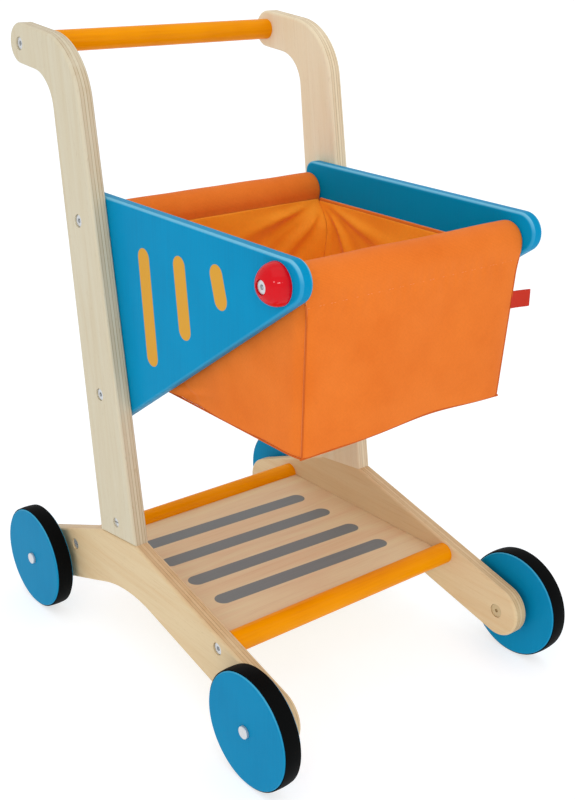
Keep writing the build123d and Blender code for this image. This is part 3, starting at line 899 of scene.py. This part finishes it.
def lining_side_place(side):
    """Side of the bag, between its front and its back."""

    def place(u, v):
        z = side_hem_z - 0.0025 - v * (side_height - 0.006)
        front = wall_y("front", z) + lining_side_gap
        back = lining_back_y(side * (half_width(z) - 0.003), z) - 0.0002
        y = front + u * (back - front)
        z = min(z, lining_top(y) - 0.0025)
        half = half_width(z) - lining_inset - tuck(z) * bell(y - front, 0.009)
        down = side_hem_z - z
        folds = gathers(back - y, down, 3.3 + side) + 0.7 * gathers(y - front, down, 0.8)
        loose = 0.0026 + 0.0034 * folds + 0.0013 * soft_noise(y, z, 0.035, 71.0 + side)
        return Vector((side * (half - clamped(down / 0.02) * max(0.0002, loose)), y, z))

    return place


lining_finishes = (lining_nylon, lining_nylon, lining_nylon)
for name, size, place in (
    ("back", (lining_width, seam_z["back"] - hem_z), lining_back_place),
    ("front", (lining_width, seam_z["front"] - hem_z), lining_front_place),
    ("left", side_size, lining_side_place(-1)),
    ("right", side_size, lining_side_place(1)),
):
    lining = sew(
        f"basket_{name}_lining", 64, 44, size, place, lining_finishes, lining_thickness
    )

# ---- Basket seams ------------------------------------------------------------
# The walls are joined with turned-in seams, which show as a thin dark line of painted shade. The
# casings and side hems are closed with one row of orange thread.

# The same canvas in a darker, redder copy, painted as the shade deep in its seams, with a fine
# tooth.
seam_shade, tree, surface = new_finish(
    "orange_canvas_seam_painted_shade", {"Roughness": 0.9, "IOR": 1.45, "Specular IOR Level": 0.1}
)
tooth = mottle(tree, object_place(tree), 700.0, 3.0)
tree.links.new(blend(tree, tooth, "#CC6628", "#BA561E"), surface.inputs["Base Color"])
emboss(tree, surface, tooth, 0.5, 0.0003)

seam_radius = 0.0008
seam_sink = 0.0002
seam_rise = 0.0008
corner_top = 0.3975
corner_runs = 12
side_runs = 40
across_runs = 24


def seam(name, points, radius=seam_radius):
    """The thin line of a sewn seam along points, in the darker copy that paints its shade."""
    line = bpy.data.curves.new(name, "CURVE")
    line.dimensions = "3D"
    line.bevel_depth = radius
    line.bevel_resolution = 3
    line.use_fill_caps = True
    line.resolution_u = 4
    run = line.splines.new("NURBS")
    run.points.add(len(points) - 1)
    for knot, point in zip(run.points, points):
        knot.co = (*point, 1.0)
    run.order_u = 3
    run.use_endpoint_u = True
    line.materials.append(seam_shade)
    piece = bpy.data.objects.new(name, line)
    bpy.context.scene.collection.objects.link(piece)
    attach(piece, "cart")


# Heights down a corner, the last one lifted off the hem, each with the height it stands for.
corner_height = corner_top - hem_z
falls = [corner_top - i * corner_height / corner_runs for i in range(corner_runs + 1)]
lifted = [(z, z + (seam_rise if z < hem_z + 0.001 else 0)) for z in falls]
front_y, back_y = wall_y("front", hem_z), wall_y("back", hem_z)
for name, side in (("left", -1), ("right", 1)):
    front_line = [
        (side * (half_width(z) - seam_sink - tuck(z)), wall_y("front", z) + 0.0004, lift)
        for z, lift in lifted
    ]
    seam(f"front_{name}_corner_seam", front_line, 0.0007)
    back_line = [
        (side * (half_width(z) - seam_sink), wall_y("back", z), lift) for z, lift in lifted
    ]
    seam(f"back_{name}_corner_seam", back_line)
    floor_line = []
    for i in range(side_runs + 1):
        inward = i * (back_y - front_y) / side_runs
        x = hem_half - floor_side_gap - corner_tuck * bell(inward, tuck_reach)
        floor_line.append((side * x, front_y + inward, hem_z + seam_rise))
    seam(f"{name}_floor_seam", floor_line)
seam_half = hem_half - 0.0006
across = [(2 * i / across_runs - 1) * seam_half for i in range(across_runs + 1)]
for name, y, arch in (("front", front_y, hem_arch), ("back", back_y, lambda x: 0)):
    seam(f"{name}_floor_seam", [(x, y + seam_sink, hem_z + seam_rise + arch(x)) for x in across])

# Polyester thread: the cloth's own orange, a shade paler, with a soft gloss.
thread_orange, tree, surface = new_finish("orange_thread", {"Roughness": 0.45, "IOR": 1.5})
twist = mottle(tree, object_place(tree), 900.0, 2.0)
tree.links.new(blend(tree, twist, "#EE8A48", "#DE7230"), surface.inputs["Base Color"])

stitch_pitch = 0.0036
stitch_length = 0.0026
thread_width = 0.0006
stitch_margin = 0.004
casing_row_lift = {"front": 0.0, "back": 0.0022}
hem_row_drop = 0.0065
hem_row_start = 0.036


def stitch_row(name, points, along, outward):
    """Stitches at points of a row that runs along, on the side of the cloth that is outward."""
    row = bmesh.new()
    along, outward = Vector(along), Vector(outward)
    across = along.cross(outward)
    turn = Matrix((across * thread_width, outward * thread_width, along * stitch_length))
    turn = turn.transposed().to_4x4()
    for point in points:
        lie = Matrix.Translation(point) @ turn
        bmesh.ops.create_uvsphere(row, u_segments=6, v_segments=5, radius=0.5, matrix=lie)
    bmesh.ops.recalc_face_normals(row, faces=row.faces)
    piece = new_piece(name, row, thread_orange)
    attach(piece, "cart")
    return piece


stitch_count = int(2 * (casing_half - stitch_margin) / stitch_pitch)
for end, lift in casing_row_lift.items():
    y = wall_y(end, seam_z[end]) - canvas_thickness / 2 + thread_width
    points = [
        (-casing_half + stitch_margin + i * stitch_pitch, y, seam_z[end] + lift)
        for i in range(stitch_count + 1)
    ]
    stitch_row(f"{end}_casing_stitches", points, (1, 0, 0), (0, -1, 0))
for name, side in (("left", -1), ("right", 1)):
    z = side_hem_z - hem_row_drop
    x = side * (half_width(z) - canvas_thickness - 0.0001)
    y = wall_y("front", z) + hem_row_start
    points = []
    while y < wall_y("back", z) - stitch_margin:
        points.append((x, y, z))
        y += stitch_pitch
    stitch_row(f"{name}_hem_stitches", points, (0, 1, 0), (-side, 0, 0))

# ---- Tag ---------------------------------------------------------------------
# A short plain red woven tape, folded double, with its two ends caught in the
# front right seam of the basket.

tag_low, tag_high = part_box("care_tag")
tape_thickness = 0.0004
tag_caught = 0.0035
tag_fold = 0.003
tag_root = tag_low.x - tag_caught
tag_reach = tag_high.x - tag_low.x - tag_fold
tag_middle = (tag_low.y + tag_high.y) / 2
tag_size = (2 * tag_reach, tag_high.z - tag_low.z)

tape_red = canvas("red_woven_tape", "#C83422", "#B82C1C", 0.6)


def tag_place(u, v):
    """The tape goes out, turns at the fold and comes back, with a slight curl."""
    run = (2 * u - 1) * tag_reach
    out = tag_reach - abs(run)
    side = 1 if run > 0 else -1
    gap = 0.00035 * clamped(abs(run) / 0.0012)
    curl = 0.45 * out**2 / (out + 0.006)
    y = tag_middle + side * gap - curl
    return Vector((tag_root + out, y, tag_low.z + v * tag_size[1] + 0.0006 * out / tag_reach))


tape_finishes = (tape_red, tape_red, tape_red)
tag = sew("red_tag", 48, 12, tag_size, tag_place, tape_finishes, tape_thickness)
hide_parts("care_tag")

# ---- Handle ------------------------------------------------------------------
# A round push bar in orange lacquer between the heads of the uprights, held as
# the rails are.

paint(orange_lacquer, "handle_bar")
paint(brass, "handle_inserts")
paint(zinc, "handle_bolts")
